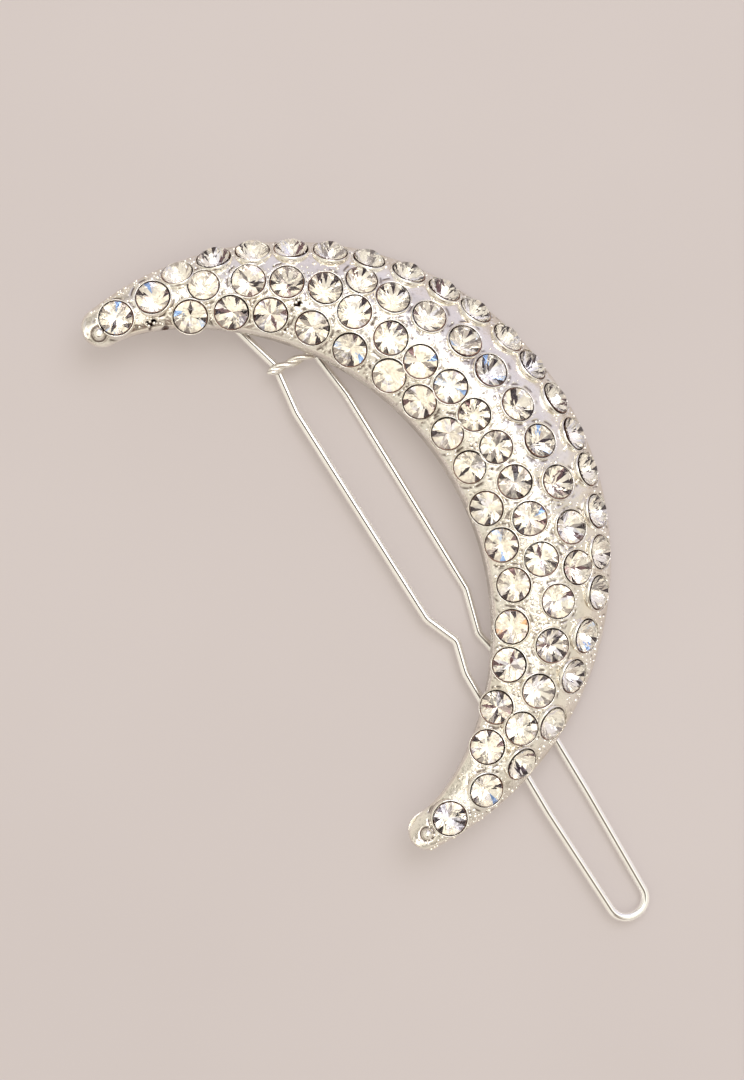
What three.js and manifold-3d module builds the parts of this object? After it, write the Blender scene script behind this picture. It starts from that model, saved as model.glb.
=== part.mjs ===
// A rhinestone hair clip: a domed crescent set with 68 round stones, and a sprung wire bail
// that hinges under one arm of the crescent and snaps over a catch under the other arm.
// Millimetres, +Z up. The clip is modelled flat in its own axes (x towards the belly of the
// crescent, y towards the hinge, z up through the stones) and then tilted about the wire,
// as it lies on a table, resting on the wire and on the outer edge of the crescent.
import * as THREE from 'three';
import { mergeVertices } from 'three/addons/utils/BufferGeometryUtils.js';
import Module from 'manifold-3d';

const wasm = await Module();
wasm.setup();

// ---------------------------------------------------------------- driving dimensions
// The crescent is the area between two circles, cut off and rounded at its tips.
const OUTER_EDGE = { x: -10.4, y: -0.2, radius: 33.2 };
const INNER_EDGE = { x: -23.7, y: -0.6, radius: 31.4 };
const UPPER_TIP_X = -14.5;      // where each arm ends and its round tip begins
const LOWER_TIP_X = -14;
const TIP_WIDTH = 3.7;          // the arms don't taper much below this
const EDGE_HEIGHT = 0.7;        // the casting's height at its outer edge
const DOME = 0.8;               // how strongly the top bulges across the width
const CREST_AT = 0.42;          // where the crest runs, as a share of the width from inside
const ARCH = 1.1;               // how far the tips drop below the middle
const ARCH_HALF_LENGTH = 31;
const SHELL = 2.3;              // metal left over the hollow back

const STONE_RADIUS = 1.75;
const STONE_GAP = 0.12;         // the least gap between neighbouring stones
const OUTER_LEAN = 10;          // degrees that the outer row leans out beyond the surface
const TABLE_SHARE = 0.56;       // the flat top's radius over the stone's radius
const CROWN_HEIGHT = 0.62;
const PAVILION_DEPTH = 1.1;
const GIRDLE_LIFT = 0.15;       // the stone's widest line, above the casting
const CUP_CLEARANCE = 0.12;
const STONE_SIDES = 8;

const WIRE_RADIUS = 0.475;
const WIRE_LEVEL = -2.7;        // the bail's centre line, below the casting's back
const HINGE_Y = 26.5;
const HINGE_LEVEL = -2.2;
const LOOP_Y = -50.75;
const LOOP_RADIUS = 1.9;

const BAR_RADIUS = 0.43;
const BAR_LEVEL = -1.6;

const BACK_PLATE_TOP = -1.2;    // the two soldered plates under the casting
const BACK_PLATE_THICKNESS = 0.4;
const EAR_THICKNESS = 0.6;
const EAR_RADIUS = 1;
const EAR_HOLE_RADIUS = 0.62;
const LEFT_EAR_X = -4.6;        // the outer faces of the two hinge ears
const RIGHT_EAR_X = 2.25;

const CATCH = { x: 0.5, y: -25.6, postRadius: 0.85, headWidth: 3, headLength: 2.6 };
const CATCH_PLATE = { x: 1.1, y: -25.9, width: 4.8, length: 4.2 };
const CATCH_HEAD_TOP = -2.95;
const CATCH_HEAD_BOTTOM = -3.3;

const REST_TILT = THREE.MathUtils.degToRad(9.46);
const ORIGIN_SHIFT = new THREE.Vector3(-3.14, 9.12, 3.755);

// ---------------------------------------------------------------- materials
const silver = { metalness: 1, roughness: 0.28 };
const materials = {
  casting: new THREE.MeshStandardMaterial({ color: 0xd8d5ce, ...silver }),
  wire: new THREE.MeshStandardMaterial({ color: 0xe4e2dc, metalness: 1, roughness: 0.18 }),
  findings: new THREE.MeshStandardMaterial({ color: 0xc9c6bf, metalness: 1, roughness: 0.35 }),
  stone: new THREE.MeshStandardMaterial({ color: 0xeef0f4, metalness: 0.1, roughness: 0.04 }),
};

// ---------------------------------------------------------------- solids
// A mesh's merged triangles as a solid that can be joined and cut.
function toSolid(geometry) {
  const bare = geometry.clone();
  bare.deleteAttribute('normal');
  bare.deleteAttribute('uv');
  const merged = mergeVertices(bare, 1e-4);
  return new wasm.Manifold(new wasm.Mesh({
    numProp: 3,
    vertProperties: new Float32Array(merged.attributes.position.array),
    triVerts: new Uint32Array(merged.index.array),
  }));
}

function toGeometry(solid) {
  const mesh = solid.getMesh();
  const geometry = new THREE.BufferGeometry();
  geometry.setAttribute('position', new THREE.BufferAttribute(mesh.vertProperties, 3));
  geometry.setIndex(new THREE.BufferAttribute(mesh.triVerts, 1));
  geometry.computeVertexNormals();
  return geometry;
}

// Rings of equally many points, joined in order and closed at both ends.
function loft(rings) {
  const count = rings[0].length;
  const positions = rings.flat().flatMap((point) => [point.x, point.y, point.z]);
  const index = [];
  for (let ring = 0; ring + 1 < rings.length; ring += 1) {
    for (let side = 0; side < count; side += 1) {
      const here = ring * count + side;
      const next = ring * count + ((side + 1) % count);
      index.push(here, next, next + count, here, next + count, here + count);
    }
  }
  for (const [ring, flip] of [[0, true], [rings.length - 1, false]]) {
    const outline = rings[ring];
    const centre = new THREE.Vector3();
    outline.forEach((point) => centre.addScaledVector(point, 1 / count));
    const middle = positions.length / 3;
    positions.push(centre.x, centre.y, centre.z);
    for (let side = 0; side < count; side += 1) {
      const here = ring * count + side;
      const next = ring * count + ((side + 1) % count);
      index.push(...(flip ? [next, here, middle] : [here, next, middle]));
    }
  }
  const geometry = new THREE.BufferGeometry();
  geometry.setAttribute('position', new THREE.Float32BufferAttribute(positions, 3));
  geometry.setIndex(index);
  geometry.computeVertexNormals();
  return geometry;
}

function box(x0, x1, y0, y1, z0, z1) {
  const geometry = new THREE.BoxGeometry(x1 - x0, y1 - y0, z1 - z0);
  return geometry.translate((x0 + x1) / 2, (y0 + y1) / 2, (z0 + z1) / 2);
}

// Straight runs between corners [x, y, z, bend radius], with each corner rounded by an arc.
function roundedRoute(corners, arcSteps) {
  const points = [];
  corners.forEach(([x, y, z, bend], at) => {
    const corner = new THREE.Vector3(x, y, z);
    if (at === 0 || at === corners.length - 1) {
      points.push(corner);
      return;
    }
    const before = new THREE.Vector3(...corners[at - 1]).sub(corner).normalize();
    const after = new THREE.Vector3(...corners[at + 1]).sub(corner).normalize();
    const half = before.angleTo(after) / 2;
    const reach = bend / Math.tan(half);
    const start = corner.clone().addScaledVector(before, reach);
    const toCentre = before.clone().add(after).normalize();
    const centre = corner.clone().addScaledVector(toCentre, bend / Math.sin(half));
    const spoke = start.clone().sub(centre);
    const axis = spoke.clone().cross(before.clone().negate()).normalize();
    const turn = Math.PI - 2 * half;
    const steps = Math.max(1, Math.round(arcSteps * turn));
    for (let step = 0; step <= steps; step += 1) {
      points.push(spoke.clone().applyAxisAngle(axis, turn * step / steps).add(centre));
    }
  });
  return points;
}

// A round bar along a route; its radius may change from point to point.
function sweep(points, sides, radiusAt) {
  const side = new THREE.Vector3();
  const rings = points.map((point, at) => {
    const ahead = points[Math.min(at + 1, points.length - 1)];
    const behind = points[Math.max(at - 1, 0)];
    const tangent = ahead.clone().sub(behind).normalize();
    if (at === 0) {
      side.set(0, 0, 1);
    }
    side.addScaledVector(tangent, -side.dot(tangent)).normalize();
    const other = tangent.clone().cross(side);
    return Array.from({ length: sides }, (_, k) => {
      const angle = 2 * Math.PI * (k + 0.5) / sides;
      return point.clone()
        .addScaledVector(side, radiusAt(at) * Math.cos(angle))
        .addScaledVector(other, radiusAt(at) * Math.sin(angle));
    });
  });
  return loft(rings);
}

// ---------------------------------------------------------------- the crescent's surface
function archAt(y) {
  return -ARCH * (y / ARCH_HALF_LENGTH) ** 2;
}

// The height of the crescent's top, from a place's distances to the two edges.
function domeAt(x, y) {
  const fromInner = Math.hypot(x - INNER_EDGE.x, y - INNER_EDGE.y) - INNER_EDGE.radius;
  const fromOuter = OUTER_EDGE.radius - Math.hypot(x - OUTER_EDGE.x, y - OUTER_EDGE.y);
  const width = fromInner + fromOuter;
  const across = fromInner / width;
  return EDGE_HEIGHT + DOME * width * ((1 - CREST_AT) ** 2 - (across - CREST_AT) ** 2);
}

function surfaceAt(x, y) {
  return domeAt(x, y) + archAt(y);
}

function normalAt(x, y) {
  const step = 0.001;
  const slopeX = (surfaceAt(x + step, y) - surfaceAt(x - step, y)) / (2 * step);
  const slopeY = (surfaceAt(x, y + step) - surfaceAt(x, y - step)) / (2 * step);
  return new THREE.Vector3(-slopeX, -slopeY, 1).normalize();
}

// ---------------------------------------------------------------- where the stones sit
// A row runs on an arc from its start angle, with the pitches in degrees to each next stone.
// Stones are set by hand, so some sit off the row: offRow is { stone number: outward shift }.
function arcRow(x, y, radius, startAngle, pitches, offRow = {}) {
  const angles = [startAngle];
  for (const pitch of pitches) {
    angles.push(angles[angles.length - 1] - pitch);
  }
  return angles.map((angle, at) => {
    const turn = THREE.MathUtils.degToRad(angle);
    const reach = radius + (offRow[at + 1] ?? 0);
    return [x + reach * Math.cos(turn), y + reach * Math.sin(turn)];
  });
}

// The pitch widens towards the lower arm. The middle is one row in the arms and two between.
const rows = {
  outer: arcRow(
    -10.5, 0.15, 31.9, 80,
    [7.4, 7.4, 7.2, 7.4, 7.4, 7.8, 7.4, 7, 7.9, 6.9, 7.6, 7.5, 7.1, 8, 7.7, 7.6, 8.5, 8, 9.6, 9.5],
    { 1: -0.4, 18: -0.5, 19: -0.4 },
  ),
  second: [
    ...arcRow(-15.5, -0.5, 31.4, 67.7, [8.4, 7.2, 7.3]),
    ...arcRow(
      -19.4, -0.55, 36.5, 35, [5.8, 6.6, 7, 6.3, 7, 6.9, 7.3, 7.6, 6.6], { 2: -0.3, 4: 0.3 },
    ),
  ],
  third: [
    ...arcRow(
      -26.85, -0.86, 39.5, 28.4, [6.7, 5.7, 5.8, 5.5, 5.8, 5.9, 5.9, 6.3], { 2: -0.3, 3: -0.3 },
    ),
    ...arcRow(-15.5, -0.5, 30.9, -35.5, [8.5, 9, 7.8]),
  ],
  inner: arcRow(
    -23.06, -0.6, 32.5, 58.5,
    [7.4, 7, 7.8, 7.8, 8.5, 7.3, 7.7, 7.3, 8.1, 7.2, 7.5, 7.5, 6.9, 8, 7.4],
    { 1: -0.6, 3: 0.4, 4: 0.4, 10: -0.3, 12: 0.4, 15: -0.4 },
  ),
  tip: [[-12.9, 30.5], [-8.6, 30.3], [-6.8, -30.9], [-11.5, -31.3]],
};

const seats = [];
for (const [row, places] of Object.entries(rows)) {
  places.forEach(([x, y], at) => {
    const normal = normalAt(x, y);
    const centre = new THREE.Vector3(x, y, surfaceAt(x, y)).addScaledVector(normal, GIRDLE_LIFT);
    if (row === 'outer') {
      const level = new THREE.Vector3(-normal.y, normal.x, 0).normalize();
      normal.applyAxisAngle(level, THREE.MathUtils.degToRad(OUTER_LEAN));
    }
    seats.push({ row, at, centre, normal });
  });
}

// Crowded stones are smaller, as a setter picks them to fit. Towards a neighbour, a leaning
// stone reaches its radius times the sine of the angle between its normal and that way.
for (const seat of seats) {
  const roomBeside = (other) => {
    const way = other.centre.clone().sub(seat.centre);
    const reach = Math.sin(seat.normal.angleTo(way)) + Math.sin(other.normal.angleTo(way));
    return (way.length() - STONE_GAP) / reach;
  };
  const others = seats.filter((other) => other !== seat);
  seat.radius = Math.min(STONE_RADIUS, ...others.map(roomBeside));
}

// ---------------------------------------------------------------- stones and their cups
// A turned solid with flat sides: rings of [radius, height] on a seat's normal.
function turned(seat, profile) {
  const lean = new THREE.Quaternion();
  lean.setFromUnitVectors(new THREE.Vector3(0, 0, 1), seat.normal);
  return loft(profile.map(([radius, height]) => (
    Array.from({ length: STONE_SIDES }, (_, k) => {
      const angle = 2 * Math.PI * k / STONE_SIDES;
      const point = new THREE.Vector3(radius * Math.cos(angle), radius * Math.sin(angle), height);
      return point.applyQuaternion(lean).add(seat.centre);
    })
  )));
}

function stoneGeometry(seat) {
  return turned(seat, [
    [seat.radius * 0.12, -PAVILION_DEPTH],
    [seat.radius, 0],
    [seat.radius * TABLE_SHARE, CROWN_HEIGHT],
  ]);
}

function cupCutter(seat) {
  const wide = seat.radius + CUP_CLEARANCE;
  return turned(seat, [
    [seat.radius * 0.3, -PAVILION_DEPTH - CUP_CLEARANCE],
    [wide, -0.1],
    [wide, 2],
  ]);
}

// A straight strip of glue bed, or of the channel for it, from one seat to the next.
function bedLink(from, to, halfWidth, low, high) {
  const along = to.centre.clone().sub(from.centre).normalize();
  const up = from.normal.clone().add(to.normal).normalize();
  const across = along.clone().cross(up).normalize();
  const ring = (seat) => [[-1, low], [-1, high], [1, high], [1, low]].map(([sign, height]) => (
    seat.centre.clone()
      .addScaledVector(across, sign * halfWidth)
      .addScaledVector(seat.normal, height)
  ));
  return loft([ring(from), ring(to)]);
}

const BED = { halfWidth: 0.45, low: -0.85, high: -0.45 };
const CHANNEL = { halfWidth: 0.65, low: -1.02, high: 1.6 };
const secondRow = seats.filter((seat) => seat.row === 'second');

function rowLinks(size) {
  return secondRow.slice(1).map((seat, at) => (
    bedLink(secondRow[at], seat, size.halfWidth, size.low, size.high)
  ));
}

// ---------------------------------------------------------------- the cast crescent
// One cross-section of the casting, between an inner and an outer point of its outline.
function castingRing(inner, outer) {
  const at = (share, height) => {
    const x = THREE.MathUtils.lerp(inner.x, outer.x, share);
    const y = THREE.MathUtils.lerp(inner.y, outer.y, share);
    return new THREE.Vector3(x, y, archAt(y) + height(x, y));
  };
  const flat = () => 0;
  const hollow = (x, y) => Math.max(0, domeAt(x, y) - SHELL);
  const topShares = [1, 0.84, 0.67, 0.5, 0.33, 0.16, 0];
  const hollowShares = [0.2, 0.42, 0.62, 0.82];
  return [
    at(1, flat),
    ...topShares.map((share) => at(share, domeAt)),
    at(0, flat),
    at(0.1, flat),
    ...hollowShares.map((share) => at(share, hollow)),
    at(0.9, flat),
  ];
}

function edgePoint(edge, angle) {
  return new THREE.Vector2(
    edge.x + edge.radius * Math.cos(angle),
    edge.y + edge.radius * Math.sin(angle),
  );
}

function crescentBlank() {
  const along = (edge, share) => {
    const upper = Math.acos((UPPER_TIP_X - edge.x) / edge.radius);
    const lower = Math.acos((LOWER_TIP_X - edge.x) / edge.radius);
    return edgePoint(edge, THREE.MathUtils.lerp(upper, -lower, share));
  };
  // The two circles leave the tips too narrow, so their inner edge gives way to the tip width.
  const widened = ([inner, outer]) => {
    const width = inner.distanceTo(outer);
    const stretch = (width ** 4 + TIP_WIDTH ** 4) ** 0.25 / width;
    return [outer.clone().lerp(inner, stretch), outer];
  };
  const stations = 42;
  const sections = [];
  for (let station = 0; station <= stations; station += 1) {
    const share = station / stations;
    sections.push(widened([along(INNER_EDGE, share), along(OUTER_EDGE, share)]));
  }
  // Each round tip is a half circle on the last section.
  const tip = ([inner, outer], degrees) => {
    const turn = THREE.MathUtils.degToRad(degrees);
    const middle = inner.clone().add(outer).multiplyScalar(0.5);
    const radius = inner.distanceTo(outer) / 2;
    const forward = new THREE.Vector2(-radius * Math.sin(turn), 0);
    return [inner, outer].map((point) => (
      point.clone().sub(middle).multiplyScalar(Math.cos(turn)).add(middle).add(forward)
    ));
  };
  const first = sections[0];
  const last = sections[sections.length - 1];
  for (const degrees of [30, 62]) {
    sections.unshift(tip(first, degrees));
    sections.push(tip(last, degrees));
  }
  return loft(sections.map(([inner, outer]) => castingRing(inner, outer)));
}

function crescentCasting() {
  let solid = toSolid(crescentBlank());
  for (const seat of seats) {
    solid = solid.subtract(toSolid(cupCutter(seat)));
  }
  for (const link of rowLinks(CHANNEL)) {
    solid = solid.subtract(toSolid(link));
  }
  return toGeometry(solid);
}

// ---------------------------------------------------------------- the stones of the second row
// They share one strip of glue bed, which lies in a channel between their cups.
function secondRowStones() {
  let solid = toSolid(stoneGeometry(secondRow[0]));
  for (const seat of secondRow.slice(1)) {
    solid = solid.add(toSolid(stoneGeometry(seat)));
  }
  for (const link of rowLinks(BED)) {
    solid = solid.add(toSolid(link));
  }
  return toGeometry(solid);
}

// ---------------------------------------------------------------- the sprung wire bail
// From one hinge end, down the left leg, round the loop, and up the right leg.
function wireBail() {
  const low = WIRE_LEVEL;
  const corners = [
    [LEFT_EAR_X - 0.4, HINGE_Y, HINGE_LEVEL, 0],
    [-3.2, HINGE_Y, HINGE_LEVEL, 0.75],
    [-1, 18, -2.62, 1.6],
    [-1.8, 12.6, low, 3],
    [-1.85, -12.9, low, 1.6],
    [-0.45, -16.5, low, 1.2],
    [-1.45, -19.9, low, 3],
    [-2, -36.8, low, 9],
    [-1.85, LOOP_Y, low, LOOP_RADIUS],
    [2.1, LOOP_Y, low, LOOP_RADIUS],
    [2.68, -37.5, low, 9],
    [2.85, -31, low, 9],
    [2.5, -20, low, 2.5],
    [2, -17.1, low, 1.2],
    [3.42, -12.5, low, 1.6],
    [3.8, 11.5, low, 4],
    [3.25, 17.4, -2.62, 3],
    [0.87, HINGE_Y, HINGE_LEVEL, 0.75],
    [RIGHT_EAR_X + 0.4, HINGE_Y, HINGE_LEVEL, 0],
  ];
  return sweep(roundedRoute(corners, 4), 10, () => WIRE_RADIUS);
}

// ---------------------------------------------------------------- the bar across the legs
// It lies over both legs and turns up at one end to meet the casting.
function fulcrumBar() {
  const corners = [
    [-2.35, 17.7, BAR_LEVEL, 0],
    [-1.7, 17.6, BAR_LEVEL, 0],
    [3.65, 16.88, BAR_LEVEL, 0.6],
    [3.65, 16.88, -0.65, 0],
  ];
  const route = [
    new THREE.Vector3(...corners[0]),
    ...roundedRoute(corners.slice(1), 4),
  ];
  return sweep(route, 10, (at) => (at === 0 ? BAR_RADIUS * 0.35 : BAR_RADIUS));
}

// ---------------------------------------------------------------- the hinge under the upper arm
function hingeEar(outerX) {
  const shape = new THREE.Shape();
  const top = BACK_PLATE_TOP - BACK_PLATE_THICKNESS / 2;
  shape.moveTo(-EAR_RADIUS, top - HINGE_LEVEL);
  shape.lineTo(-EAR_RADIUS, 0);
  shape.absarc(0, 0, EAR_RADIUS, Math.PI, 2 * Math.PI, false);
  shape.lineTo(EAR_RADIUS, top - HINGE_LEVEL);
  const hole = new THREE.Path();
  hole.absarc(0, 0, EAR_HOLE_RADIUS, 0, 2 * Math.PI, true);
  shape.holes.push(hole);
  const ear = new THREE.ExtrudeGeometry(shape, {
    depth: EAR_THICKNESS, bevelEnabled: false, curveSegments: 8,
  });
  // The shape's own axes x, y become the clip's y, z, and its depth runs along x.
  ear.applyMatrix4(new THREE.Matrix4().makeBasis(
    new THREE.Vector3(0, 1, 0), new THREE.Vector3(0, 0, 1), new THREE.Vector3(1, 0, 0),
  ));
  return ear.translate(outerX, HINGE_Y, HINGE_LEVEL);
}

function hingeBracket() {
  const bottom = BACK_PLATE_TOP - BACK_PLATE_THICKNESS;
  const plate = box(LEFT_EAR_X, RIGHT_EAR_X, HINGE_Y - 2.2, HINGE_Y + 2, bottom, BACK_PLATE_TOP);
  const solid = toSolid(plate)
    .add(toSolid(hingeEar(LEFT_EAR_X)))
    .add(toSolid(hingeEar(RIGHT_EAR_X - EAR_THICKNESS)));
  return toGeometry(solid);
}

// ---------------------------------------------------------------- the catch under the lower arm
// A post between the bail's legs, with a head that they snap over.
function catchPost() {
  const bottom = BACK_PLATE_TOP - BACK_PLATE_THICKNESS;
  const halfWidth = CATCH_PLATE.width / 2;
  const halfLength = CATCH_PLATE.length / 2;
  const plate = box(
    CATCH_PLATE.x - halfWidth, CATCH_PLATE.x + halfWidth,
    CATCH_PLATE.y - halfLength, CATCH_PLATE.y + halfLength,
    bottom, BACK_PLATE_TOP,
  );
  const postTop = BACK_PLATE_TOP - BACK_PLATE_THICKNESS / 2;
  const postBottom = (CATCH_HEAD_TOP + CATCH_HEAD_BOTTOM) / 2;
  const post = new THREE.CylinderGeometry(
    CATCH.postRadius, CATCH.postRadius, postTop - postBottom, 12,
  );
  post.rotateX(Math.PI / 2).translate(CATCH.x, CATCH.y, (postTop + postBottom) / 2);
  const headRing = (shrink, level) => {
    const across = CATCH.headWidth / 2 - shrink;
    const along = CATCH.headLength / 2 - shrink;
    return Array.from({ length: 16 }, (_, k) => {
      const angle = 2 * Math.PI * k / 16;
      return new THREE.Vector3(
        CATCH.x + across * Math.cos(angle), CATCH.y + along * Math.sin(angle), level,
      );
    });
  };
  const head = loft([headRing(0.35, CATCH_HEAD_BOTTOM), headRing(0, CATCH_HEAD_TOP)]);
  return toGeometry(toSolid(plate).add(toSolid(post)).add(toSolid(head)));
}

// ---------------------------------------------------------------- the assembly
const clip = new THREE.Group();
clip.position.copy(ORIGIN_SHIFT);
clip.rotation.y = REST_TILT;

function addPart(name, geometry, material) {
  const mesh = new THREE.Mesh(geometry, material);
  mesh.name = name;
  clip.add(mesh);
}

addPart('crescent_casting', crescentCasting(), materials.casting);
addPart('wire_bail', wireBail(), materials.wire);
addPart('fulcrum_bar', fulcrumBar(), materials.findings);
addPart('hinge_bracket', hingeBracket(), materials.findings);
addPart('catch_post', catchPost(), materials.findings);
addPart('second_row_stones', secondRowStones(), materials.stone);
for (const seat of seats.filter((one) => one.row !== 'second')) {
  const number = String(seat.at + 1).padStart(2, '0');
  addPart(`${seat.row}_stone_${number}`, stoneGeometry(seat), materials.stone);
}

const assembly = new THREE.Group();
assembly.add(clip);

export default assembly;
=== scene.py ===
"""A rhinestone hair clip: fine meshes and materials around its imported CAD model."""
import math
import random

import bmesh
import bpy
import numpy as np
from mathutils import Matrix, Quaternion, Vector, noise


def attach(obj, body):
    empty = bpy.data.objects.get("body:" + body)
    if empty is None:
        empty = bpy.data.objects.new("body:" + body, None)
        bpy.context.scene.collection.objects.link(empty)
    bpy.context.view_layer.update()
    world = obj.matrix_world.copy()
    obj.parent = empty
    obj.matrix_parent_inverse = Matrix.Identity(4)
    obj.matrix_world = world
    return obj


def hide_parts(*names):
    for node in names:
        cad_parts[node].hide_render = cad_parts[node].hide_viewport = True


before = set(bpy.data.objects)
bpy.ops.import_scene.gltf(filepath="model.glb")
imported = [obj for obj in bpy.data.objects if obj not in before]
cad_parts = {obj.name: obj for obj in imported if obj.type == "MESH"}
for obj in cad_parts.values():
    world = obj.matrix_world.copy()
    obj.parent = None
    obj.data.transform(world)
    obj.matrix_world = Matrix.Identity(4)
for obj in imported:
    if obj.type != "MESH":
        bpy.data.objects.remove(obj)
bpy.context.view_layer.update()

# ---------------------------------------------------------------- dimensions
# The clip's own axes are in millimetres: x towards the belly of the crescent, y towards the
# hinge, z up through the stones. CLIP takes them to the frame's metres, tilted as it lies.
REST_TILT = math.radians(9.46)
ORIGIN_SHIFT = (-3.14, 9.12, 3.755)
MM = 0.001
CLIP = (
    Matrix.Scale(MM, 4)
    @ Matrix.Translation(ORIGIN_SHIFT)
    @ Matrix.Rotation(REST_TILT, 4, "Y")
)

OUTER_EDGE = (-10.4, -0.2, 33.2)      # x, y, radius
INNER_EDGE = (-23.7, -0.6, 31.4)
UPPER_TIP_X = -14.5                   # where each arm ends and its round tip begins
LOWER_TIP_X = -14.0
TIP_WIDTH = 3.7                       # the arms don't taper much below this
EDGE_HEIGHT = 0.7                     # the casting's height at its outer edge
EDGE_ROUND = 0.35                     # how far in from the edge the top is rounded
DOME = 0.8                            # how strongly the top bulges across the width
CREST_AT = 0.42                       # where the crest runs, as a share of the width from inside
ARCH = 1.1                            # how far the tips drop below the middle
ARCH_HALF_LENGTH = 31
SHELL = 2.3                           # metal left over the hollow back
WELL_DEPTH = 1.35                     # how far the casting is sunk under each stone
PIT_DEPTH = 0.9
PITS = [                              # x, y, radius of the casting's open pits
    (-10.1, 28.1, 0.40), (-9.2, 26.9, 0.32), (2.6, 23.1, 0.30), (3.5, 21.9, 0.34), (3.8, 20.6, 0.26),
]
TIP_BEADS = [(-14.3, -31.4, 0.58, 0.9), (-15.2, 30.1, 0.62, 0.6)]      # x, y, radius, flatness

STONE_RADIUS = 1.75
STONE_GAP = 0.12                      # the least gap between neighbouring stones
OUTER_LEAN = math.radians(10)         # how far the outer row leans out beyond the surface
TABLE_SHARE = 0.52                    # the flat top's radius over the stone's radius
CROWN_HEIGHT = 0.66
PAVILION_DEPTH = 1.45
GIRDLE_HALF = 0.05                    # half the height of the stone's upright rim
GIRDLE_LIFT = 0.15                    # the stone's widest line, above the casting

WIRE_RADIUS = 0.475
WIRE_LEVEL = -2.7                     # the bail's centre line, below the casting's back
HINGE_Y = 26.5
HINGE_LEVEL = -2.2
LOOP_Y = -50.75
LOOP_RADIUS = 1.9
BAR_RADIUS = 0.43
BAR_STEP = 0.12
BAR_PITCH = 4.2                       # the bar's length for one full twist
BAR_LEVEL = -1.6
LEFT_EAR_X = -4.6
RIGHT_EAR_X = 2.25


# ---------------------------------------------------------------- meshes
def build_mesh(name, points, faces, body, replaced=(), smooth=True):
    """A piece from points in the clip's own millimetres, riding on a body."""
    data = np.asarray(points, dtype=float)
    turn = np.array(CLIP.to_3x3())
    placed = data @ turn.T + np.array(CLIP.translation)
    mesh = bpy.data.meshes.new(name)
    mesh.from_pydata(placed.tolist(), [], faces)
    mesh.validate()
    mesh.update()
    mesh.polygons.foreach_set("use_smooth", [smooth] * len(mesh.polygons))
    piece = bpy.data.objects.new(name, mesh)
    bpy.context.scene.collection.objects.link(piece)
    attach(piece, body)
    if replaced:
        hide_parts(*replaced)
    return piece


def loft(rings):
    """Rings of equally many points, joined in order and closed at both ends."""
    count = len(rings[0])
    points = [tuple(point) for ring in rings for point in ring]
    faces = []
    for ring in range(len(rings) - 1):
        for side in range(count):
            here = ring * count + side
            following = ring * count + (side + 1) % count
            faces.append((here, following, following + count, here + count))
    last = (len(rings) - 1) * count
    faces.append(tuple(range(count - 1, -1, -1)))
    faces.append(tuple(range(last, last + count)))
    return points, faces


def joined(parts):
    """Several (points, faces) as one."""
    points = []
    faces = []
    for part_points, part_faces in parts:
        offset = len(points)
        points.extend(part_points)
        faces.extend(tuple(index + offset for index in face) for face in part_faces)
    return points, faces


def rounded_route(corners, arc_steps):
    """Straight runs between corners (x, y, z, bend radius), each corner an arc."""
    points = []
    for at, (x, y, z, bend) in enumerate(corners):
        corner = Vector((x, y, z))
        if at in (0, len(corners) - 1):
            points.append(corner)
            continue
        before = (Vector(corners[at - 1][:3]) - corner).normalized()
        after = (Vector(corners[at + 1][:3]) - corner).normalized()
        half = before.angle(after) / 2
        start = corner + before * (bend / math.tan(half))
        centre = corner + (before + after).normalized() * (bend / math.sin(half))
        spoke = start - centre
        axis = spoke.cross(-before).normalized()
        turn = math.pi - 2 * half
        steps = max(2, round(arc_steps * turn))
        for step in range(steps + 1):
            points.append(centre + Quaternion(axis, turn * step / steps) @ spoke)
    return points


def finely_spaced(points, gap):
    """The same route with long runs cut into shorter ones."""
    fine = [points[0]]
    for before, after in zip(points, points[1:]):
        pieces = max(1, math.ceil((after - before).length / gap))
        fine.extend(before.lerp(after, step / pieces) for step in range(1, pieces + 1))
    return fine


def sweep_frames(points):
    """A tangent and two sides at each point of a route, without twist."""
    side = Vector((0, 0, 1))
    frames = []
    for at, point in enumerate(points):
        ahead = points[min(at + 1, len(points) - 1)]
        behind = points[max(at - 1, 0)]
        tangent = (ahead - behind).normalized()
        side = (side - tangent * side.dot(tangent)).normalized()
        frames.append((point, tangent, side, tangent.cross(side)))
    return frames


def sweep(points, sides, radius_at):
    """A round bar along a route; radius_at gives its radius at each point's number."""
    rings = []
    for at, (point, _tangent, side, other) in enumerate(sweep_frames(points)):
        radius = radius_at(at)
        ring = []
        for k in range(sides):
            angle = 2 * math.pi * (k + 0.5) / sides
            ring.append(point + (side * math.cos(angle) + other * math.sin(angle)) * radius)
        rings.append(ring)
    return loft(rings)


# ---------------------------------------------------------------- the crescent's surface
def arch_at(y):
    return -ARCH * (y / ARCH_HALF_LENGTH) ** 2


def across_at(x, y):
    """How far across the crescent a place is, as a share, and the width there."""
    from_inner = np.hypot(x - INNER_EDGE[0], y - INNER_EDGE[1]) - INNER_EDGE[2]
    from_outer = OUTER_EDGE[2] - np.hypot(x - OUTER_EDGE[0], y - OUTER_EDGE[1])
    width = from_inner + from_outer
    return from_inner / width, width


def dome_at(x, y):
    share, width = across_at(x, y)
    return EDGE_HEIGHT + DOME * width * ((1 - CREST_AT) ** 2 - (share - CREST_AT) ** 2)


def surface_at(x, y):
    return dome_at(x, y) + arch_at(y)


def normal_at(x, y):
    step = 0.001
    slope_x = (surface_at(x + step, y) - surface_at(x - step, y)) / (2 * step)
    slope_y = (surface_at(x, y + step) - surface_at(x, y - step)) / (2 * step)
    return Vector((-slope_x, -slope_y, 1)).normalized()


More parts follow.
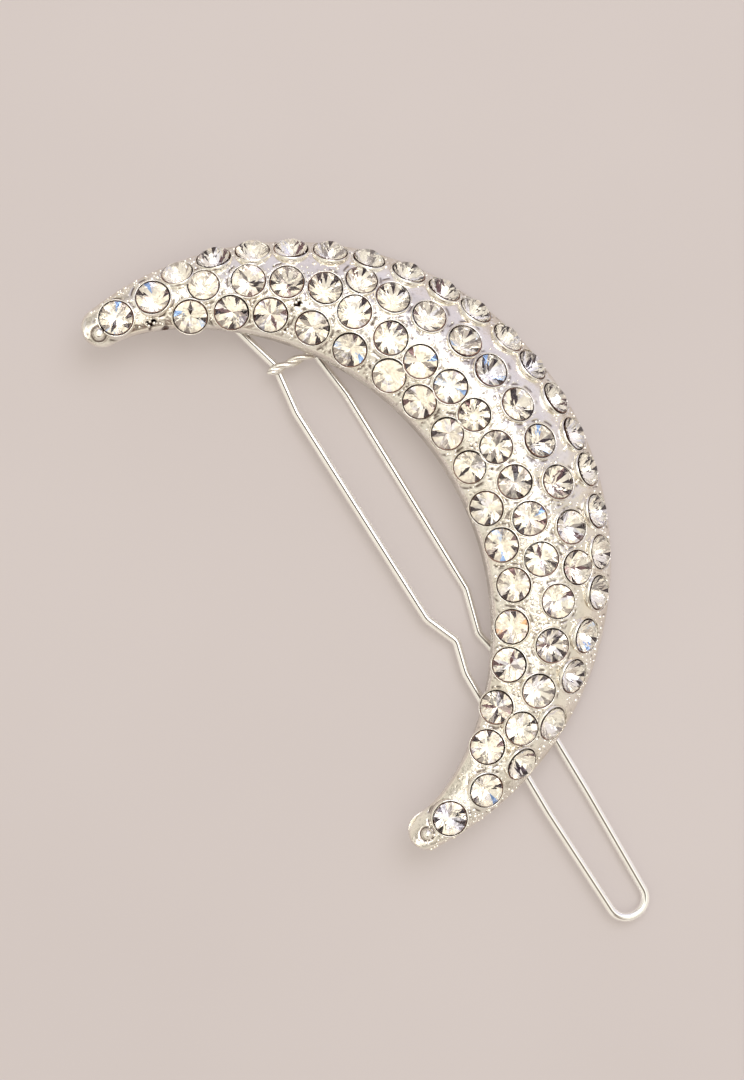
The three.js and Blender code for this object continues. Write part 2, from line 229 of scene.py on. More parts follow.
# ---------------------------------------------------------------- where the stones sit
def arc_row(x, y, radius, start_angle, pitches, off_row=None):
    """Places on an arc, the pitches in degrees; off_row is {stone number: outward shift}."""
    angles = [start_angle]
    for pitch in pitches:
        angles.append(angles[-1] - pitch)
    places = []
    for number, angle in enumerate(angles, 1):
        reach = radius + (off_row or {}).get(number, 0)
        turn = math.radians(angle)
        places.append((x + reach * math.cos(turn), y + reach * math.sin(turn)))
    return places


ROWS = {
    "outer": arc_row(
        -10.5, 0.15, 31.9, 80,
        [7.4, 7.4, 7.2, 7.4, 7.4, 7.8, 7.4, 7, 7.9, 6.9, 7.6, 7.5, 7.1, 8, 7.7, 7.6, 8.5, 8, 9.6, 9.5],
        {1: -0.4, 18: -0.5, 19: -0.4},
    ),
    "second": (
        arc_row(-15.5, -0.5, 31.4, 67.7, [8.4, 7.2, 7.3])
        + arc_row(
            -19.4, -0.55, 36.5, 35, [5.8, 6.6, 7, 6.3, 7, 6.9, 7.3, 7.6, 6.6], {2: -0.3, 4: 0.3},
        )
    ),
    "third": (
        arc_row(
            -26.85, -0.86, 39.5, 28.4, [6.7, 5.7, 5.8, 5.5, 5.8, 5.9, 5.9, 6.3], {2: -0.3, 3: -0.3},
        )
        + arc_row(-15.5, -0.5, 30.9, -35.5, [8.5, 9, 7.8])
    ),
    "inner": arc_row(
        -23.06, -0.6, 32.5, 58.5,
        [7.4, 7, 7.8, 7.8, 8.5, 7.3, 7.7, 7.3, 8.1, 7.2, 7.5, 7.5, 6.9, 8, 7.4],
        {1: -0.6, 3: 0.4, 4: 0.4, 10: -0.3, 12: 0.4, 15: -0.4},
    ),
    "tip": [(-12.9, 30.5), (-8.6, 30.3), (-6.8, -30.9), (-11.5, -31.3)],
}


def room_beside(seat, other):
    """The radius at which two leaning stones would come within STONE_GAP."""
    way = other["centre"] - seat["centre"]
    reach = math.sin(seat["normal"].angle(way)) + math.sin(other["normal"].angle(way))
    return (way.length - STONE_GAP) / reach


def find_seats():
    seats = []
    for row, places in ROWS.items():
        for at, (x, y) in enumerate(places):
            normal = normal_at(x, y)
            centre = Vector((x, y, surface_at(x, y))) + normal * GIRDLE_LIFT
            if row == "outer":
                level = Vector((-normal.y, normal.x, 0)).normalized()
                normal.rotate(Quaternion(level, OUTER_LEAN))
            node = "second_row_stones" if row == "second" else f"{row}_stone_{at + 1:02d}"
            seats.append({"row": row, "at": at, "centre": centre, "normal": normal, "node": node})
    for seat in seats:
        room = min(room_beside(seat, other) for other in seats if other is not seat)
        seat["radius"] = min(STONE_RADIUS, room)
    return seats


SEATS = find_seats()


# ---------------------------------------------------------------- materials
def new_material(name, **values):
    material = bpy.data.materials.new(name)
    material.use_nodes = True
    shader = material.node_tree.nodes["Principled BSDF"]
    for socket, value in values.items():
        shader.inputs[socket.replace("_", " ")].default_value = value
    return material, material.node_tree, shader


def add_noise(tree, scale, detail):
    """A noise value over the object's own coordinates."""
    place = tree.nodes.new("ShaderNodeTexCoord")
    texture = tree.nodes.new("ShaderNodeTexNoise")
    texture.inputs["Scale"].default_value = scale
    texture.inputs["Detail"].default_value = detail
    tree.links.new(place.outputs["Object"], texture.inputs["Vector"])
    return texture.outputs["Fac"]


def add_range(tree, value, low, high):
    """The value from 0.3..0.7 spread to low..high."""
    spread = tree.nodes.new("ShaderNodeMapRange")
    spread.inputs["From Min"].default_value = 0.3
    spread.inputs["From Max"].default_value = 0.7
    spread.inputs["To Min"].default_value = low
    spread.inputs["To Max"].default_value = high
    tree.links.new(value, spread.inputs["Value"])
    return spread.outputs["Result"]


def add_tint(tree, value, low, high):
    """Two colours mixed by the value."""
    ramp = tree.nodes.new("ShaderNodeValToRGB")
    ramp.color_ramp.elements[0].position = 0.35
    ramp.color_ramp.elements[0].color = (*low, 1)
    ramp.color_ramp.elements[1].position = 0.65
    ramp.color_ramp.elements[1].color = (*high, 1)
    tree.links.new(value, ramp.inputs["Fac"])
    return ramp.outputs["Color"]


def add_bump(tree, shader, value, strength, distance):
    bump = tree.nodes.new("ShaderNodeBump")
    bump.inputs["Strength"].default_value = strength
    bump.inputs["Distance"].default_value = distance
    tree.links.new(value, bump.inputs["Height"])
    tree.links.new(bump.outputs["Normal"], shader.inputs["Normal"])


def metal(name, low, high, smooth, rough, grain, bump, metallic=1.0):
    """Plated metal: colour and roughness drift with one noise, and a finer one is the grain."""
    material, tree, shader = new_material(name, Metallic=metallic)
    drift = add_noise(tree, 420, 3)
    tree.links.new(add_tint(tree, drift, low, high), shader.inputs["Base Color"])
    tree.links.new(add_range(tree, drift, smooth, rough), shader.inputs["Roughness"])
    add_bump(tree, shader, add_noise(tree, grain, 4), bump, 0.00006)
    return material


def with_patina_and_painted_reflection(material, dark_tone):
    """Darkens the metal where the mesh's darkening colour is set: patina in the casting's hollows, and
    a painted dark reflection along the wire's top.
    """
    tree = material.node_tree
    shader = tree.nodes["Principled BSDF"]
    bright = shader.inputs["Base Color"].links[0].from_socket
    darkening = tree.nodes.new("ShaderNodeVertexColor")
    darkening.layer_name = "darkening"
    mix = tree.nodes.new("ShaderNodeMix")
    mix.data_type = "RGBA"
    tree.links.new(darkening.outputs["Color"], mix.inputs["Factor"])
    tree.links.new(bright, mix.inputs["A"])
    mix.inputs["B"].default_value = (*dark_tone, 1)
    tree.links.new(mix.outputs["Result"], shader.inputs["Base Color"])
    return material


def store_darkening(piece, marks):
    """Stores how dark each point of the mesh is, from 0 to 1."""
    colours = np.ones((len(marks), 4))
    colours[:, :3] = np.asarray(marks)[:, None]
    layer = piece.data.color_attributes.new("darkening", "FLOAT_COLOR", "POINT")
    layer.data.foreach_set("color", colours.ravel())


CAST = with_patina_and_painted_reflection(
    metal("cast_silver", (0.83, 0.78, 0.70), (0.90, 0.87, 0.81), 0.16, 0.34, 2600, 0.35),
    (0.09, 0.05, 0.037),
)
CUP = metal("cup_silver", (0.86, 0.81, 0.72), (0.97, 0.95, 0.90), 0.10, 0.24, 3400, 0.35)
# The wire's darkening colour is a painted dark reflection along its upward-facing top.
WIRE = with_patina_and_painted_reflection(
    metal("polished_wire", (0.95, 0.93, 0.89), (1.0, 0.99, 0.96), 0.05, 0.11, 1500, 0.05, 0.8),
    (0.13, 0.105, 0.09),
)
ROPE = metal("rope_bar", (0.84, 0.80, 0.74), (0.97, 0.95, 0.91), 0.10, 0.26, 3200, 0.4)
SHEET = metal("plated_sheet", (0.66, 0.64, 0.61), (0.82, 0.80, 0.77), 0.22, 0.42, 1800, 0.3)


def stone_materials():
    glass, _tree, _shader = new_material(
        "stone_glass", Base_Color=(1, 1, 1, 1), Roughness=0.0, IOR=1.50, Transmission_Weight=1.0,
    )
    # The foil takes its painted reflection tones as colour and also glows faintly in them: painted
    # light.
    foil, tree, shader = new_material(
        "stone_foil", Metallic=0.7, Roughness=0.12, Emission_Strength=0.11,
    )
    tone = tree.nodes.new("ShaderNodeVertexColor")
    tone.layer_name = "painted_reflection_tone"
    tree.links.new(tone.outputs["Color"], shader.inputs["Base Color"])
    tree.links.new(tone.outputs["Color"], shader.inputs["Emission Color"])
    # Dark brown lacquer, also used as painted shade in the gap round each stone.
    lacquer, tree, shader = new_material("stone_lacquer_and_shade", Roughness=0.4)
    drift = add_noise(tree, 900, 2)
    tree.links.new(add_tint(tree, drift, (0.14, 0.065, 0.045), (0.30, 0.16, 0.11)),
                   shader.inputs["Base Color"])
    return glass, foil, lacquer


GLASS, FOIL, LACQUER_AND_SHADE = stone_materials()
GLASS_SLOT, FOIL_SLOT, LACQUER_AND_SHADE_SLOT = range(3)


# ---------------------------------------------------------------- the stones
CREAM = (1.00, 0.95, 0.85)
PEARL = (0.90, 0.89, 0.97)
GREY = (0.38, 0.34, 0.32)
DARK = (0.04, 0.025, 0.032)
MAUVE = (0.16, 0.085, 0.095)
BLUE = (0.30, 0.50, 0.95)
AMBER = (0.95, 0.50, 0.25)

# The foil's facet tones are painted reflections: light and dark wedges in place of what each facet
# reflects. How often each tone falls on a stone's wide facets, and on the narrow ones at its rim.
WIDE_REFLECTION_TONES = ((CREAM, 0.80), (PEARL, 0.09), (GREY, 0.05), (DARK, 0.04), (MAUVE, 0.02))
NARROW_REFLECTION_TONES = (
    (CREAM, 0.43), (PEARL, 0.08), (GREY, 0.18), (DARK, 0.24), (MAUVE, 0.05),
    (BLUE, 0.015), (AMBER, 0.005),
)


def painted_reflection_tone(rng, tones, calm):
    """A random painted reflection tone; a calm above 1 favours the first ones, which are light."""
    pick = rng.random() ** calm
    for colour, share in tones:
        pick -= share
        if pick <= 0:
            return colour
    return CREAM


def brilliant(radius, spin, shift):
    """A round brilliant's glass and its foil cup, on z up, as points, faces and slots.

    Glass, foil and lacquer are one inside the other, so each one's rings are a little smaller
    or larger than the next one's. The shift moves the lacquer's rim to one side, widening the dark
    outline there: lacquer, and painted shade in the gap round the stone.
    """
    def ring(count, share, height, turned=0.0):
        points = []
        for k in range(count):
            angle = spin + 2 * math.pi * (k + turned) / count
            reach = radius * share
            points.append((reach * math.cos(angle), reach * math.sin(angle), height))
        return points

    eight = range(8)
    depth = PAVILION_DEPTH
    glass_points = (
        ring(8, TABLE_SHARE, CROWN_HEIGHT)
        + ring(8, 0.76, CROWN_HEIGHT * 0.62, 0.5)
        + ring(16, 0.975, GIRDLE_HALF)
        + ring(16, 0.975, -GIRDLE_HALF)
        + ring(8, 0.335, -depth * 0.75, 0.5)
        + [(0, 0, -depth * 1.03)]
    )
    table, mid, top, low, half, culet = 0, 8, 16, 32, 48, 56
    faces = [tuple(table + k for k in eight)]
    for k in eight:
        following = (k + 1) % 8
        g0, g1, g2 = top + 2 * k, top + 2 * k + 1, top + (2 * k + 2) % 16
        faces.append((table + k, mid + k, table + following))
        faces.append((table + k, mid + (k - 1) % 8, g0, mid + k))
        faces.append((mid + k, g0, g1))
        faces.append((mid + k, g1, g2))
    for k in range(16):
        following = (k + 1) % 16
        faces.append((top + k, low + k, low + following, top + following))

    def pavilion(rim, half, tip):
        """A cone's facets, facing outwards: eight kites to the tip, and pairs of triangles."""
        kites = []
        pairs = []
        for k in eight:
            g0, g1, g2 = rim + 2 * k, rim + 2 * k + 1, rim + (2 * k + 2) % 16
            kites.append((g0, half + (k - 1) % 8, tip, half + k))
            pairs.append((g0, half + k, g1))
            pairs.append((g1, half + k, g2))
        return kites + pairs

    faces.extend(pavilion(low, half, culet))
    slots = [GLASS_SLOT] * len(faces)

    # The foil cup: a faceted mirror facing up, with lacquer on its back, joined at the rim.
    start = len(glass_points)
    foil_points = (
        ring(16, 0.96, -GIRDLE_HALF)
        + ring(8, 0.31, -depth * 0.72, 0.5)
        + [(0, 0, -depth)]
        + [(x + shift[0], y + shift[1], z) for x, y, z in ring(16, 1.005, -GIRDLE_HALF * 0.4)]
        + ring(8, 0.37, -depth * 0.79, 0.5)
        + [(0, 0, -depth * 1.08)]
    )
    rim, mirror_half, tip = start, start + 16, start + 24
    back, back_half, point = start + 25, start + 41, start + 49
    mirror = [tuple(reversed(face)) for face in pavilion(rim, mirror_half, tip)]
    faces.extend(mirror)
    slots.extend([FOIL_SLOT] * len(mirror))
    lacquer = pavilion(back, back_half, point)
    # This band at the rim shows as a dark outline round the stone: lacquer, and painted shade.
    for k in range(16):
        following = (k + 1) % 16
        lacquer.append((rim + k, back + k, back + following, rim + following))
    faces.extend(lacquer)
    slots.extend([LACQUER_AND_SHADE_SLOT] * len(lacquer))
    return glass_points + foil_points, faces, slots


def add_stone(seat, rng):
    spin = rng.uniform(0, math.tau)
    turn = rng.uniform(0, math.tau)
    off_centre = 0.045
    # The steady part of the shift puts the wider dark outline on the same side of every stone: a
    # painted shadow.
    shift = (off_centre * math.cos(turn) - 0.02, off_centre * math.sin(turn) - 0.02)
    points, faces, slots = brilliant(seat["radius"], spin, shift)
    lean = Vector((0, 0, 1)).rotation_difference(seat["normal"])
    wobble = Quaternion((rng.uniform(-1, 1), rng.uniform(-1, 1), 0), math.radians(rng.uniform(0, 5)))
    placed = [seat["centre"] + lean @ (wobble @ Vector(point)) for point in points]
    name = f"stone_{seat['row']}_{seat['at'] + 1:02d}"
    piece = build_mesh(name, placed, faces, "crescent", [seat["node"]], smooth=False)
    for material in (GLASS, FOIL, LACQUER_AND_SHADE):
        piece.data.materials.append(material)
    piece.data.polygons.foreach_set("material_index", slots)
    # Each foil facet gets a painted reflection tone, light or dark.
    tones = piece.data.color_attributes.new("painted_reflection_tone", "FLOAT_COLOR", "CORNER")
    calm = rng.uniform(0.5, 1.6)
    colour = CREAM
    for polygon in piece.data.polygons:
        if polygon.material_index != FOIL_SLOT:
            continue
        wide = len(polygon.vertices) == 4
        # A dark narrow facet is always followed by a light one, so the dark ones stay slender.
        if wide or colour in (CREAM, PEARL):
            colour = painted_reflection_tone(rng, WIDE_REFLECTION_TONES if wide else NARROW_REFLECTION_TONES, calm)
        else:
            colour = CREAM
        for corner in polygon.loop_indices:
            tones.data[corner].color = (*colour, 1)


def add_stones():
    rng = random.Random(11)
    for seat in SEATS:
        add_stone(seat, rng)


# ---------------------------------------------------------------- the cast crescent
def outline_sections(stations, cap_steps):
    """Pairs of inner and outer points along the crescent, with round tips."""
    def edge_point(edge, share):
        upper = math.acos((UPPER_TIP_X - edge[0]) / edge[2])
        lower = math.acos((LOWER_TIP_X - edge[0]) / edge[2])
        angle = upper + (-lower - upper) * share
        return np.array((edge[0] + edge[2] * math.cos(angle), edge[1] + edge[2] * math.sin(angle)))

    def widened(inner, outer):
        width = np.hypot(*(outer - inner))
        stretch = (width ** 4 + TIP_WIDTH ** 4) ** 0.25 / width
        return outer + (inner - outer) * stretch, outer

    sections = []
    for station in range(stations + 1):
        share = station / stations
        inner = edge_point(INNER_EDGE, share)
        outer = edge_point(OUTER_EDGE, share)
        sections.append(widened(inner, outer))

    def tip(section, turn):
        inner, outer = section
        middle = (inner + outer) / 2
        radius = np.hypot(*(outer - inner)) / 2
        forward = np.array((-radius * math.sin(turn), 0))
        return tuple((point - middle) * math.cos(turn) + middle + forward for point in section)

    turns = [math.pi / 2 * (step + 1) / cap_steps * 0.99 for step in range(cap_steps)]
    before = [tip(sections[0], turn) for turn in reversed(turns)]
    after = [tip(sections[-1], turn) for turn in turns]
    return before + sections + after


def cast_top(x, y, edge_distance):
    """The casting's smooth top with its rounded edge, above its own back."""
    height = dome_at(x, y)
    near = np.clip(1 - edge_distance / EDGE_ROUND, 0, 1)
    drop = np.minimum(EDGE_ROUND, height * 0.5)
    return height - drop * (1 - np.sqrt(1 - near ** 2))


def sink_wells(x, y, z):
    """The top sunk under the stones, but never below a floor above the casting's back."""
    floor_z = arch_at(y) + 0.35
    for seat in SEATS:
        cx, cy, cz = seat["centre"]
        near = (np.abs(x - cx) < 3) & (np.abs(y - cy) < 3)
        px, py, pz = x[near] - cx, y[near] - cy, z[near] - cz
        nx, ny, nz = seat["normal"]
        along = px * nx + py * ny + pz * nz
        radial = np.sqrt(np.maximum(px ** 2 + py ** 2 + pz ** 2 - along ** 2, 0))
        gone = np.clip((seat["radius"] + 0.16 - radial) / 0.06, 0, 1)
        z[near] = np.maximum(z[near] - WELL_DEPTH * gone, np.minimum(z[near], floor_z[near]))


def roughen(x, y, z, edge_distance):
    """Cast unevenness: grainy on the inner part and the outer edge; returns how dark it is."""
    darkening = np.zeros_like(z)
    share = across_at(x, y)[0]
    for at in np.ndindex(z.shape):
        px, py = x[at], y[at]
        broad = noise.noise((px * 1.0, py * 1.0, 3.0))
        fine = noise.noise((px * 2.3, py * 2.3, 9.0))
        grain = 1 - 2 * abs(fine)
        grainy = 1.0 if share[at] < 0.60 else max(0.15, 1 - (share[at] - 0.60) * 8)
        if share[at] > 0.9:
            grainy = 1.0
        fade = min(1.0, edge_distance[at] / 0.5)
        grainy *= 1.0 if abs(py) < 26 else 0.5
        z[at] += fade * (0.06 * broad + grainy * 0.05 * (grain - 0.5))
        darkening[at] = fade * grainy * min(1.0, max(0.0, (0.25 - grain) * 1.5))
    return darkening


def open_pits(x, y, z, darkening):
    """A few ragged open pits."""
    for px, py, reach in PITS:
        off = np.hypot(x - px, y - py) + 0.2 * np.sin(5 * x + 3 * y) * np.cos(4 * y - 2 * x)
        z = z - PIT_DEPTH * np.clip((reach - off) / 0.12, 0, 1)
        darkening = np.maximum(darkening, np.clip((reach + 0.1 - off) / 0.1, 0, 1))
    return z, darkening


def stain_rings(x, y, z, darkening, edge_distance):
    """Broken dark rings round the stones of all but the outer row, and whole ones at the beads."""
    rings = [(seat["centre"][0], seat["centre"][1], seat["radius"] + 0.42, 0.1, 0.0)
             for seat in SEATS if seat["row"] != "outer"]
    rings += [(bead_x, bead_y, size + 0.14, 0.12, 1.0) for bead_x, bead_y, size, _flat in TIP_BEADS]
    for cx, cy, reach, spread, least in rings:
        off = np.hypot(x - cx, y - cy) - reach
        around = np.arctan2(y - cy, x - cx)
        broken = np.sin(3 * around + 5 * cx) * np.sin(5 * around + 3 * cy) * 2.6 - 0.2
        mark = np.exp(-(off / spread) ** 2) * np.clip(np.maximum(broken, least), 0, 1)
        z = z - 0.10 * mark
        darkening = np.maximum(darkening, 0.95 * mark * np.clip(edge_distance / 0.3, 0, 1))
    return z, darkening


def hollow_back(inner, outer):
    """The underside from the outer edge to the inner one, hollow between two flat rims."""
    share = np.array(
        [1.0, 0.97, 0.9, 0.86, 0.8, 0.7, 0.6, 0.5, 0.4, 0.3, 0.2, 0.14, 0.1, 0.03, 0.0]
    )
    across = share[None, :, None]
    back = inner[:, None, :] * (1 - across) + outer[:, None, :] * across
    x, y = back[..., 0], back[..., 1]
    hollow = np.maximum(0, dome_at(x, y) - SHELL)
    inside = np.clip(np.minimum(share - 0.1, 0.9 - share) / 0.08, 0, 1)
    rim = np.minimum(share, 1 - share)
    lifted_edge = np.where(rim < 0.02, 0.12, 0.0)
    return x, y, hollow * inside[None, :] + arch_at(y) + lifted_edge[None, :]


def add_casting():
    across = 110
    sections = outline_sections(1000, 28)
    inner = np.array([pair[0] for pair in sections])
    outer = np.array([pair[1] for pair in sections])
    width = np.hypot(*(outer - inner).T)

    # Points across the top lie closer together near both edges.
    share = np.linspace(0, 1, across)
    share = share - 0.035 * np.sin(2 * np.pi * share)
    top_xy = inner[:, None, :] * (1 - share)[None, :, None] + outer[:, None, :] * share[None, :, None]
    edge_distance = width[:, None] * np.minimum(share, 1 - share)[None, :]
    x, y = top_xy[..., 0], top_xy[..., 1]
    z = cast_top(x, y, edge_distance) + arch_at(y)
    sink_wells(x, y, z)
    darkening = roughen(x, y, z, edge_distance)
    z, darkening = open_pits(x, y, z, darkening)
    z, darkening = stain_rings(x, y, z, darkening, edge_distance)
    back_x, back_y, back_z = hollow_back(inner, outer)

    ring_x = np.concatenate([x, back_x], axis=1)
    ring_y = np.concatenate([y, back_y], axis=1)
    ring_z = np.concatenate([z, back_z], axis=1)
    rings, count = ring_x.shape
    points = np.stack([ring_x.ravel(), ring_y.ravel(), ring_z.ravel()], axis=1)
    faces = []
    for ring in range(rings - 1):
        base = ring * count
        for side in range(count):
            following = base + (side + 1) % count
            here = base + side
            faces.append((here, here + count, following + count, following))
    faces.append(tuple(range(count)))
    last = (rings - 1) * count
    faces.append(tuple(range(last + count - 1, last - 1, -1)))
    piece = build_mesh(
        "crescent_body", points, faces, "crescent", ["crescent_casting"],
    )
    piece.data.materials.append(CAST)
    store_darkening(piece, np.concatenate([darkening, np.zeros_like(back_z)], axis=1).ravel())


def add_cups():
    """A thin cast collar round each stone, lined inside with dark brown lacquer that is also painted
    shade in the gap.
    """
    rng = random.Random(23)
    parts = []
    slots = []
    sides = 48
    # From inside to outside: how far beyond the stone's edge, and the height from its rim.
    profile = [
        (0.06, -1.2), (0.06, -0.14), (0.08, -0.07), (0.12, -0.04),
        (0.17, -0.06), (0.22, -0.14), (0.27, -0.3), (0.27, -1.2),
    ]
    rows_of = len(profile)
    for seat in SEATS:
        lean = Vector((0, 0, 1)).rotation_difference(seat["normal"])
        radius = seat["radius"]
        phase = [rng.uniform(0, math.tau) for _ in range(3)]
        points = []
        for out, height in profile:
            for k in range(sides):
                angle = math.tau * k / sides
                lump = sum(math.sin((3 + 2 * wave) * angle + phase[wave]) for wave in range(3)) / 3
                reach = radius + out + (0.02 * lump if out > 0.1 else 0)
                rise = height + (0.05 * lump if height > -0.5 else 0)
                spot = Vector((reach * math.cos(angle), reach * math.sin(angle), rise))
                points.append(seat["centre"] + lean @ spot)
        faces = []
        for row in range(rows_of):
            for k in range(sides):
                here = row * sides + k
                following = row * sides + (k + 1) % sides
                up = ((row + 1) % rows_of) * sides
                faces.append((here, up + k, up + (k + 1) % sides, following))
                slots.append(1 if row in (0, rows_of - 1) else 0)
        parts.append((points, faces))
    points, faces = joined(parts)
    piece = build_mesh("stone_cups", points, faces, "crescent")
    piece.data.materials.append(CUP)
    piece.data.materials.append(LACQUER_AND_SHADE)
    piece.data.polygons.foreach_set("material_index", slots)


def icosphere(subdivisions):
    """A ball of radius 1, as points and faces."""
    ball = bmesh.new()
    bmesh.ops.create_icosphere(ball, subdivisions=subdivisions, radius=1)
    points = [vertex.co.copy() for vertex in ball.verts]
    faces = [tuple(vertex.index for vertex in face.verts) for face in ball.faces]
    ball.free()
    return points, faces


def add_grains():
    """Small cast beads scattered over the metal between the stones."""
    rng = random.Random(5)
    ball_points, ball_faces = icosphere(2)
    parts = []
    placed = []
    centres = np.array([seat["centre"] for seat in SEATS])
    radii = np.array([seat["radius"] for seat in SEATS])
    wanted = 640
    tries_left = 60000
    while len(placed) < wanted and tries_left > 0:
        tries_left -= 1
        angle = rng.uniform(-1.62, 1.62)
        share = rng.uniform(0.02, 0.98)
        cx = INNER_EDGE[0] + share * (OUTER_EDGE[0] - INNER_EDGE[0])
        cy = INNER_EDGE[1] + share * (OUTER_EDGE[1] - INNER_EDGE[1])
        cr = INNER_EDGE[2] + share * (OUTER_EDGE[2] - INNER_EDGE[2])
        x = cx + cr * math.cos(angle)
        y = cy + cr * math.sin(angle)
        if x < LOWER_TIP_X - 0.9:
            continue
        size = rng.choice([0.11, 0.14, 0.17, 0.2, 0.27])
        spot = np.array((x, y, surface_at(x, y)))
        gap = np.linalg.norm(centres - spot, axis=1) - radii
        if gap.min() < 0.1 + size * 0.75:
            continue
        if any(np.linalg.norm(spot - other) < (size + reach) * 0.8 for other, reach in placed):
            continue
        share_here = across_at(x, y)[0]
        if 0.68 < share_here < 0.86 and rng.random() < 0.7:
            continue
        placed.append((spot, size))
        normal = normal_at(x, y)
        lean = Vector((0, 0, 1)).rotation_difference(normal)
        centre = Vector(spot) - normal * size * 0.25
        flat = rng.uniform(0.7, 1.0)
        grain = [Vector((p.x * size, p.y * size, p.z * size * flat)) for p in ball_points]
        parts.append(([centre + lean @ point for point in grain], ball_faces))
    for x, y, size, flat in TIP_BEADS:
        centre = Vector((x, y, surface_at(x, y) + 0.15 * size))
        bead = [centre + Vector((p.x, p.y, p.z * flat)) * size for p in ball_points]
        parts.append((bead, ball_faces))
    points, faces = joined(parts)
    piece = build_mesh("cast_grains", points, faces, "crescent")
    piece.data.materials.append(CUP)


# ---------------------------------------------------------------- wire, bar, hinge and catch
def add_bail():
    """From one hinge end, down the left leg, round the loop, and up the right leg."""
    low = WIRE_LEVEL
    corners = [
        (LEFT_EAR_X - 0.4, HINGE_Y, HINGE_LEVEL, 0),
        (-3.2, HINGE_Y, HINGE_LEVEL, 0.75),
        (-1, 18, -2.62, 1.6),
        (-1.8, 12.6, low, 3),
        (-1.85, -12.9, low, 1.6),
        (-0.45, -16.5, low, 1.2),
        (-1.45, -19.9, low, 3),
        (-2, -36.8, low, 9),
        (-1.85, LOOP_Y, low, LOOP_RADIUS),
        (2.1, LOOP_Y, low, LOOP_RADIUS),
        (2.68, -37.5, low, 9),
        (2.85, -31, low, 9),
        (2.5, -20, low, 2.5),
        (2, -17.1, low, 1.2),
        (3.42, -12.5, low, 1.6),
        (3.8, 11.5, low, 4),
        (3.25, 17.4, -2.62, 3),
        (0.87, HINGE_Y, HINGE_LEVEL, 0.75),
        (RIGHT_EAR_X + 0.4, HINGE_Y, HINGE_LEVEL, 0),
    ]
    route = finely_spaced(rounded_route(corners, 14), 0.9)
    sides = 56
    points, faces = sweep(route, sides, lambda at: WIRE_RADIUS)
    piece = build_mesh("bail_wire", points, faces, "bail", ["wire_bail"])
    piece.data.materials.append(WIRE)
    # Where the wire faces up, leaning a little towards -x, a fine dark line is painted along it: a
    # painted dark reflection.
    lean = REST_TILT + math.radians(3)
    top = Vector((-math.sin(lean), 0, math.cos(lean)))
    line_width = 0.16
    marks = []
    for at, point in enumerate(points):
        outward = (Vector(point) - Vector(route[at // sides])).normalized()
        marks.append(min(1.0, max(0.0, 1.6 - outward.angle(top) / line_width)))
    store_darkening(piece, marks)


def add_bar():
    """Two strands twisted round each other, thinner at the free end."""
    corners = [
        (-2.35, 17.7, BAR_LEVEL, 0),
        (3.65, 16.88, BAR_LEVEL, 0.6),
        (3.65, 16.88, -0.65, 0),
    ]
    frames = sweep_frames(finely_spaced(rounded_route(corners, 10), BAR_STEP))
    strand = BAR_RADIUS * 0.74
    parts = []
    for turn in (0, math.pi):
        centres = []
        for at, (point, _tangent, side, other) in enumerate(frames):
            taper = min(1.0, 0.25 + at * BAR_STEP / 1.1)
            angle = turn + at * BAR_STEP * math.tau / BAR_PITCH
            reach = BAR_RADIUS * 0.60 * taper
            centres.append(point + (side * math.cos(angle) + other * math.sin(angle)) * reach)
        parts.append(sweep(centres, 20, lambda at: strand * min(1.0, 0.35 + at * BAR_STEP / 0.9)))
    points, faces = joined(parts)
    piece = build_mesh("rope_bar", points, faces, "crescent", ["fulcrum_bar"])
    piece.data.materials.append(ROPE)


def coat_findings():
    """The hidden bracket and catch keep their CAD shapes."""
    for node in ("hinge_bracket", "catch_post"):
        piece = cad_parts[node]
        piece.data.materials.clear()
        piece.data.materials.append(SHEET)


# ---------------------------------------------------------------- floor, light and camera
def add_floor():
    bpy.ops.mesh.primitive_plane_add(size=3, location=(0, 0, 0))
    floor = bpy.context.object
    floor.name = "floor"
    material, tree, shader = new_material(
        "pale_paper", Roughness=0.85, Emission_Color=(0.26, 0.222, 0.203, 1), Emission_Strength=1.0,
    )
    drift = add_noise(tree, 14, 3)
    tree.links.new(add_tint(tree, drift, (0.325, 0.30, 0.296), (0.345, 0.32, 0.316)),
                   shader.inputs["Base Color"])
    floor.data.materials.append(material)


def add_light(name, direction, distance, size, power, colour):
    light = bpy.data.lights.new(name, "AREA")
    light.shape = "RECTANGLE"
    light.size, light.size_y = size
    light.energy = power
    light.color = colour
    lamp = bpy.data.objects.new(name, light)
    bpy.context.scene.collection.objects.link(lamp)
    towards = Vector(direction).normalized()
    lamp.location = towards * distance
    lamp.rotation_euler = towards.to_track_quat("Z", "Y").to_euler()


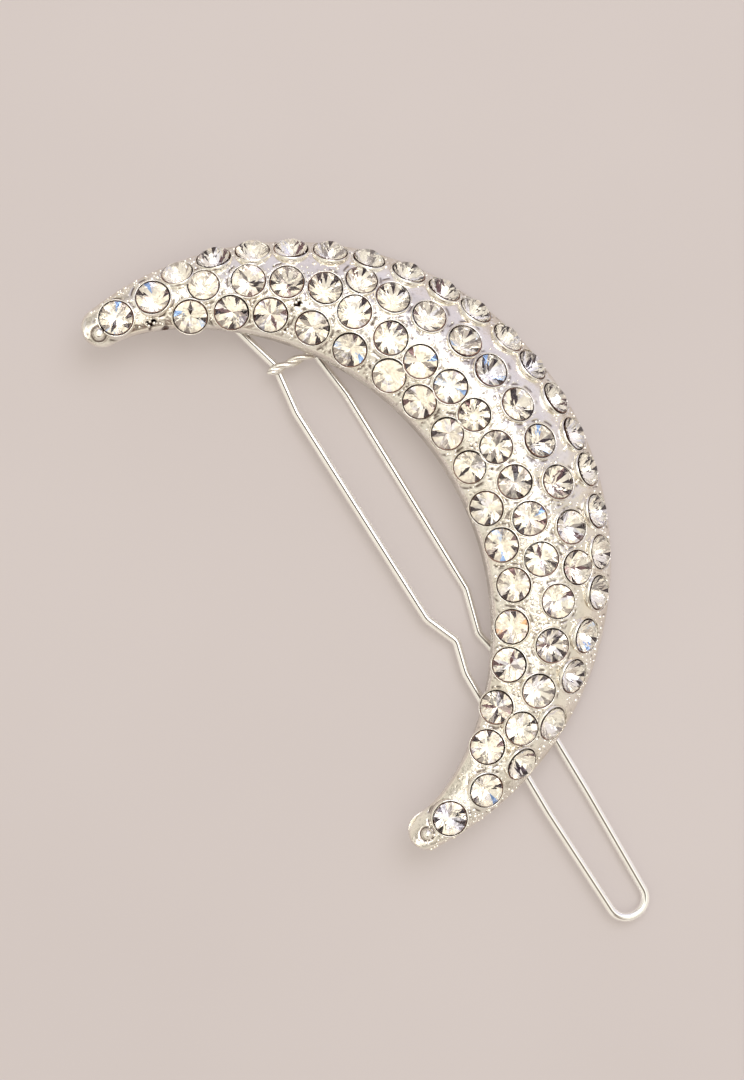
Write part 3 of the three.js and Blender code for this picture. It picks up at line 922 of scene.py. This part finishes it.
def add_world():
    """A warm white room: lavender towards the window, with a dark lens, a person and a beam."""
    world = bpy.data.worlds.new("studio")
    bpy.context.scene.world = world
    world.use_nodes = True
    tree = world.node_tree
    background = tree.nodes["Background"]
    place = tree.nodes.new("ShaderNodeTexCoord")
    split = tree.nodes.new("ShaderNodeSeparateXYZ")
    tree.links.new(place.outputs["Generated"], split.inputs["Vector"])

    def ramp_of(value, stops):
        ramp = tree.nodes.new("ShaderNodeValToRGB")
        tree.links.new(value, ramp.inputs["Fac"])
        elements = ramp.color_ramp.elements
        elements[0].position, elements[0].color = stops[0][0], (*stops[0][1], 1)
        elements[1].position, elements[1].color = stops[-1][0], (*stops[-1][1], 1)
        for position, colour in stops[1:-1]:
            elements.new(position).color = (*colour, 1)
        return ramp.outputs["Color"]

    def towards(direction):
        dot = tree.nodes.new("ShaderNodeVectorMath")
        dot.operation = "DOT_PRODUCT"
        dot.inputs[1].default_value = Vector(direction).normalized()
        tree.links.new(place.outputs["Generated"], dot.inputs[0])
        return dot.outputs["Value"]

    def times(first, second):
        mix = tree.nodes.new("ShaderNodeMix")
        mix.data_type = "RGBA"
        mix.blend_type = "MULTIPLY"
        mix.inputs["Factor"].default_value = 1
        tree.links.new(first, mix.inputs["A"])
        tree.links.new(second, mix.inputs["B"])
        return mix.outputs["Result"]

    white = (1, 1, 1)
    beam_brown = (0.10, 0.07, 0.06)
    room = ramp_of(split.outputs["Z"], [
        (0.0, (1.10, 1.02, 0.90)), (0.3, (0.86, 0.80, 0.70)), (0.68, (0.86, 0.82, 0.72)),
        (0.88, (1.50, 1.44, 1.28)), (1.0, (1.75, 1.68, 1.50)),
    ])
    lens = ramp_of(split.outputs["Z"], [(0.988, white), (0.993, (0.08, 0.07, 0.07))])
    window = ramp_of(towards((0.8, 0.45, 0.35)), [(0.62, white), (0.86, (0.92, 0.94, 1.22))])
    person = ramp_of(towards((-0.536, -0.844, 0.9)), [(0.93, white), (0.975, (0.36, 0.27, 0.25))])
    beam = ramp_of(towards((0.76, 0, 0.65)), [
        (0.0, white), (0.23, white), (0.26, beam_brown),
        (0.32, beam_brown), (0.35, white), (1.0, white),
    ])
    sky = times(times(times(times(room, lens), window), person), beam)
    tree.links.new(sky, background.inputs["Color"])
    background.inputs["Strength"].default_value = 0.95


def add_camera():
    """Straight above, turned so that the wire runs down to the right."""
    camera = bpy.data.cameras.new("camera")
    camera.lens = 85
    camera.sensor_width = 36
    camera.clip_start = 0.01
    viewer = bpy.data.objects.new("camera", camera)
    bpy.context.scene.collection.objects.link(viewer)
    viewer.location = (-0.0058, 0.00629, 0.2684)
    viewer.rotation_euler = (0, 0, math.radians(-32.45))
    bpy.context.scene.camera = viewer


add_camera()
add_floor()
add_world()
add_light("key_window", (0.42, 0.25, 1.0), 0.5, (0.30, 0.30), 0.8, (0.95, 0.95, 1.0))
add_casting()
add_cups()
add_grains()
add_stones()
add_bail()
add_bar()
coat_findings()

bpy.context.scene.view_settings.view_transform = "Standard"
